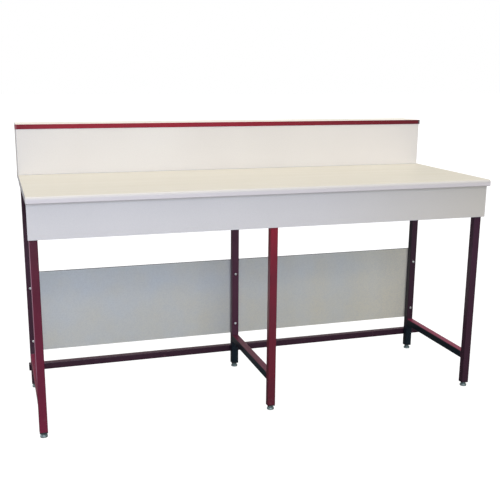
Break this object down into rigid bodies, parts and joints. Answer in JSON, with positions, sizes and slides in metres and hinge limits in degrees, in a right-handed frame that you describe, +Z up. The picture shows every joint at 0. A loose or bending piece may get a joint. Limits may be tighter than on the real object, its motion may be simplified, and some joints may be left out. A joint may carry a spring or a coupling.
{
  "type": "laboratory bench",
  "caption": "Long workbench with a thick laminate worktop, front fascia, square-tube leg frames on levelling feet, rear panel and a raised service shelf along the back.",
  "frame": {"origin": "on the floor, in the middle of the footprint", "axes": "+X along the worktop to the right for someone at the front, +Y from the front edge to the back, +Z up"},
  "size_m": [1.865, 0.75, 1.095],
  "materials": {
    "worktop_laminate": "warm cream satin laminate on chipboard",
    "white_board": "off-white melamine-faced board",
    "grey_board": "light grey melamine-faced board with dark cut edges",
    "red_trim": "dark red plastic edge profile",
    "grey_plastic": "dark grey moulded plastic",
    "burgundy_epoxy": "glossy burgundy epoxy powder coat on steel tube",
    "black_plastic": "black moulded plastic",
    "zinc_plate": "bright zinc-plated steel",
    "beech": "plain beech"
  },
  "bodies": {
    "frame": {"block_screws": "zinc_plate", "bracket_screws": "zinc_plate", "centre_side_rail": "burgundy_epoxy", "centre_top_rail": "burgundy_epoxy", "corner_blocks": "beech", "fascia_brackets": "zinc_plate", "fascia_screws": "zinc_plate", "foot_inserts": "black_plastic", "front_centre_leg": "burgundy_epoxy", "front_fascia": "white_board", "front_left_leg": "burgundy_epoxy", "front_right_leg": "burgundy_epoxy", "left_side_rail": "burgundy_epoxy", "left_top_rail": "burgundy_epoxy", "panel_bolts": "zinc_plate", "panel_nuts": "zinc_plate", "panel_washers": "zinc_plate", "rear_centre_leg": "burgundy_epoxy", "rear_left_leg": "burgundy_epoxy", "rear_panel": "grey_board", "rear_rail": "burgundy_epoxy", "rear_rail_left_cap": "black_plastic", "rear_rail_right_cap": "black_plastic", "rear_right_leg": "burgundy_epoxy", "right_side_rail": "burgundy_epoxy", "right_top_rail": "burgundy_epoxy", "top_rail_caps": "black_plastic", "trim_left_cap": "grey_plastic", "trim_right_cap": "grey_plastic", "upstand_dowels": "beech", "upstand_front": "white_board", "upstand_left_end": "white_board", "upstand_right_end": "white_board", "upstand_shelf": "white_board", "upstand_trim": "red_trim", "worktop": "worktop_laminate", "worktop_screws": "zinc_plate"},
    "front_left_pad": {"front_left_foot_pad": "zinc_plate"},
    "front_left_stud": {"front_left_foot_stud": "zinc_plate"},
    "front_centre_pad": {"front_centre_foot_pad": "zinc_plate"},
    "front_centre_stud": {"front_centre_foot_stud": "zinc_plate"},
    "front_right_pad": {"front_right_foot_pad": "zinc_plate"},
    "front_right_stud": {"front_right_foot_stud": "zinc_plate"},
    "rear_left_pad": {"rear_left_foot_pad": "zinc_plate"},
    "rear_left_stud": {"rear_left_foot_stud": "zinc_plate"},
    "rear_centre_pad": {"rear_centre_foot_pad": "zinc_plate"},
    "rear_centre_stud": {"rear_centre_foot_stud": "zinc_plate"},
    "rear_right_pad": {"rear_right_foot_pad": "zinc_plate"},
    "rear_right_stud": {"rear_right_foot_stud": "zinc_plate"}
  },
  "joints": [
    {"name": "front_left_level", "type": "slide", "parent": "frame", "child": "front_left_pad", "axis": [0, 0, -1], "range_m": [-0.0015, 0.02]},
    {"name": "front_left_turn", "type": "hinge", "parent": "front_left_pad", "child": "front_left_stud", "pos_m": [-0.9095, -0.32, 0.01], "axis": [0, 0, -1], "range_deg": [-361, 4801]},
    {"name": "front_centre_level", "type": "slide", "parent": "frame", "child": "front_centre_pad", "axis": [0, 0, -1], "range_m": [-0.0015, 0.02]},
    {"name": "front_centre_turn", "type": "hinge", "parent": "front_centre_pad", "child": "front_centre_stud", "pos_m": [-0.0295, -0.32, 0.01], "axis": [0, 0, -1], "range_deg": [-361, 4801]},
    {"name": "front_right_level", "type": "slide", "parent": "frame", "child": "front_right_pad", "axis": [0, 0, -1], "range_m": [-0.0015, 0.02]},
    {"name": "front_right_turn", "type": "hinge", "parent": "front_right_pad", "child": "front_right_stud", "pos_m": [0.8505, -0.32, 0.01], "axis": [0, 0, -1], "range_deg": [-361, 4801]},
    {"name": "rear_left_level", "type": "slide", "parent": "frame", "child": "rear_left_pad", "axis": [0, 0, -1], "range_m": [-0.0015, 0.02]},
    {"name": "rear_left_turn", "type": "hinge", "parent": "rear_left_pad", "child": "rear_left_stud", "pos_m": [-0.9095, 0.183, 0.01], "axis": [0, 0, -1], "range_deg": [-361, 4801]},
    {"name": "rear_centre_level", "type": "slide", "parent": "frame", "child": "rear_centre_pad", "axis": [0, 0, -1], "range_m": [-0.0015, 0.02]},
    {"name": "rear_centre_turn", "type": "hinge", "parent": "rear_centre_pad", "child": "rear_centre_stud", "pos_m": [-0.0295, 0.183, 0.01], "axis": [0, 0, -1], "range_deg": [-361, 4801]},
    {"name": "rear_right_level", "type": "slide", "parent": "frame", "child": "rear_right_pad", "axis": [0, 0, -1], "range_m": [-0.0015, 0.02]},
    {"name": "rear_right_turn", "type": "hinge", "parent": "rear_right_pad", "child": "rear_right_stud", "pos_m": [0.8505, 0.183, 0.01], "axis": [0, 0, -1], "range_deg": [-361, 4801]}
  ],
  "couplings": [
    {"joint": "front_left_turn", "follows": "front_left_level", "rad_per_m": 4188.8},
    {"joint": "front_centre_turn", "follows": "front_centre_level", "rad_per_m": 4188.8},
    {"joint": "front_right_turn", "follows": "front_right_level", "rad_per_m": 4188.8},
    {"joint": "rear_left_turn", "follows": "rear_left_level", "rad_per_m": 4188.8},
    {"joint": "rear_centre_turn", "follows": "rear_centre_level", "rad_per_m": 4188.8},
    {"joint": "rear_right_turn", "follows": "rear_right_level", "rad_per_m": 4188.8}
  ]
}
